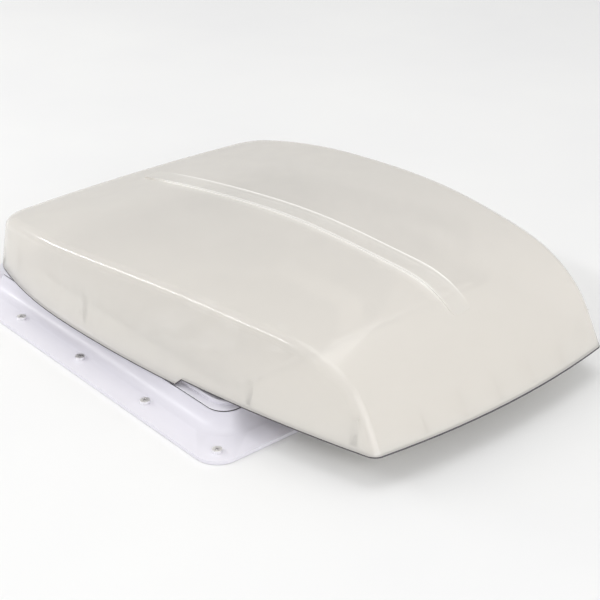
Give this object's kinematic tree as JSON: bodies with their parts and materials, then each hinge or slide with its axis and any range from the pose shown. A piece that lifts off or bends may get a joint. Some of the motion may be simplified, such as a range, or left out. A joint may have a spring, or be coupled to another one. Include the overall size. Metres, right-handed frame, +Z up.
{
  "type": "caravan roof vent",
  "caption": "Powered roof vent with a domed hinged lid overhanging a square screw-down flange, a fan under a rain hood and a ceiling trim with screen, knob and buttons.",
  "frame": {"origin": "centre of the roof opening, in the plane of the roof skin under the flange", "axes": "+Z up out of the roof, +X towards the lid's overhanging rear, -X towards its hinge"},
  "size_m": [0.5552, 0.44, 0.1959],
  "materials": {
    "lid_plastic": "satin, slightly translucent cream",
    "inner_plastic": "satin",
    "seal_rubber": "matte",
    "edging_rubber": "satin",
    "flange_plastic": "satin white",
    "screw_steel": "bright",
    "hood_plastic": "fine grained",
    "motor_metal": "satin black",
    "fan_plastic": "satin grey",
    "arm_metal": "pressed sheet",
    "gear_brass": "cut",
    "gear_housing": "moulded",
    "trim_plastic": "fine grained white",
    "net_mesh": "woven",
    "panel_plastic": "satin light grey",
    "board_green": "coated",
    "button_plastic": "satin"
  },
  "bodies": {
    "base": {"base_flange": "flange_plastic", "flange_screws": "screw_steel", "frame_gasket": "seal_rubber", "base_frame": "flange_plastic", "hinge_pins": "screw_steel", "fan_shroud": "inner_plastic", "shroud_screws": "screw_steel", "motor_bracket": "inner_plastic", "bracket_screws": "screw_steel", "fan_motor": "motor_metal", "motor_screws": "screw_steel", "rain_hood": "hood_plastic", "hood_screws": "screw_steel", "right_vane_panel": "hood_plastic", "left_vane_panel": "hood_plastic", "lift_gearbox": "gear_housing", "gearbox_cover": "gear_housing", "right_shaft_bearing": "gear_housing", "left_shaft_bearing": "gear_housing", "terminal_block": "gear_housing", "heat_sensor": "gear_housing", "ceiling_trim": "trim_plastic", "trim_screws": "screw_steel", "screen_frame": "trim_plastic", "insect_net": "net_mesh", "control_panel": "panel_plastic", "control_board": "board_green"},
    "lid": {"lid_shell": "lid_plastic", "lid_edging": "edging_rubber", "lid_pan": "inner_plastic", "lid_seal": "seal_rubber", "lid_screws": "screw_steel", "right_hinge_leaf": "arm_metal", "left_hinge_leaf": "arm_metal", "right_lift_track": "arm_metal", "left_lift_track": "arm_metal"},
    "fan": {"fan_blades": "fan_plastic", "motor_shaft": "screw_steel", "fan_nut": "screw_steel"},
    "lift": {"lift_shaft": "screw_steel", "right_lift_arm": "arm_metal", "left_lift_arm": "arm_metal", "worm_wheel": "gear_brass"},
    "crank": {"worm_shaft": "screw_steel", "lift_knob": "panel_plastic"},
    "power_button": {"power_button": "button_plastic"},
    "speed_up_button": {"speed_up_button": "button_plastic"},
    "speed_down_button": {"speed_down_button": "button_plastic"},
    "air_direction_button": {"air_direction_button": "button_plastic"},
    "automatic_button": {"automatic_button": "button_plastic"},
    "front_right_latch": {"front_right_latch": "trim_plastic"},
    "rear_right_latch": {"rear_right_latch": "trim_plastic"},
    "front_left_latch": {"front_left_latch": "trim_plastic"},
    "rear_left_latch": {"rear_left_latch": "trim_plastic"}
  },
  "joints": [
    {"name": "lid_hinge", "type": "hinge", "parent": "base", "child": "lid", "pos_m": [-0.192, 0, 0.022], "axis": [0, -1, 0], "range_deg": [0, 12]},
    {"name": "lift_turn", "type": "hinge", "parent": "base", "child": "lift", "pos_m": [0.158, 0, 0.024], "axis": [0, 1, 0], "range_deg": [0, 30]},
    {"name": "knob_turn", "type": "hinge", "parent": "base", "child": "crank", "pos_m": [0.142, -0.06, 0], "axis": [0, 0, 1], "range_deg": [0, 720]},
    {"name": "fan_spin", "type": "hinge", "parent": "base", "child": "fan", "pos_m": [0, 0, 0.03], "axis": [0, 0, 1], "continuous": true},
    {"name": "power_press", "type": "slide", "parent": "base", "child": "power_button", "axis": [0, 0, 1], "range_m": [0, 0.0012], "stiffness_N_per_m": 300},
    {"name": "speed_up_press", "type": "slide", "parent": "base", "child": "speed_up_button", "axis": [0, 0, 1], "range_m": [0, 0.0012], "stiffness_N_per_m": 300},
    {"name": "speed_down_press", "type": "slide", "parent": "base", "child": "speed_down_button", "axis": [0, 0, 1], "range_m": [0, 0.0012], "stiffness_N_per_m": 300},
    {"name": "air_direction_press", "type": "slide", "parent": "base", "child": "air_direction_button", "axis": [0, 0, 1], "range_m": [0, 0.0012], "stiffness_N_per_m": 300},
    {"name": "automatic_press", "type": "slide", "parent": "base", "child": "automatic_button", "axis": [0, 0, 1], "range_m": [0, 0.0012], "stiffness_N_per_m": 300},
    {"name": "front_right_latch_turn", "type": "hinge", "parent": "base", "child": "front_right_latch", "pos_m": [-0.067, -0.146, -0.064], "axis": [0, 0, 1], "range_deg": [0, 90]},
    {"name": "rear_right_latch_turn", "type": "hinge", "parent": "base", "child": "rear_right_latch", "pos_m": [0.053, -0.146, -0.064], "axis": [0, 0, 1], "range_deg": [0, 90]},
    {"name": "front_left_latch_turn", "type": "hinge", "parent": "base", "child": "front_left_latch", "pos_m": [-0.067, 0.146, -0.064], "axis": [0, 0, 1], "range_deg": [0, 90]},
    {"name": "rear_left_latch_turn", "type": "hinge", "parent": "base", "child": "rear_left_latch", "pos_m": [0.053, 0.146, -0.064], "axis": [0, 0, 1], "range_deg": [0, 90]}
  ],
  "couplings": [
    {"joint": "lift_turn", "follows": "lid_hinge", "ratio": 2.5},
    {"joint": "knob_turn", "follows": "lid_hinge", "ratio": 60}
  ]
}
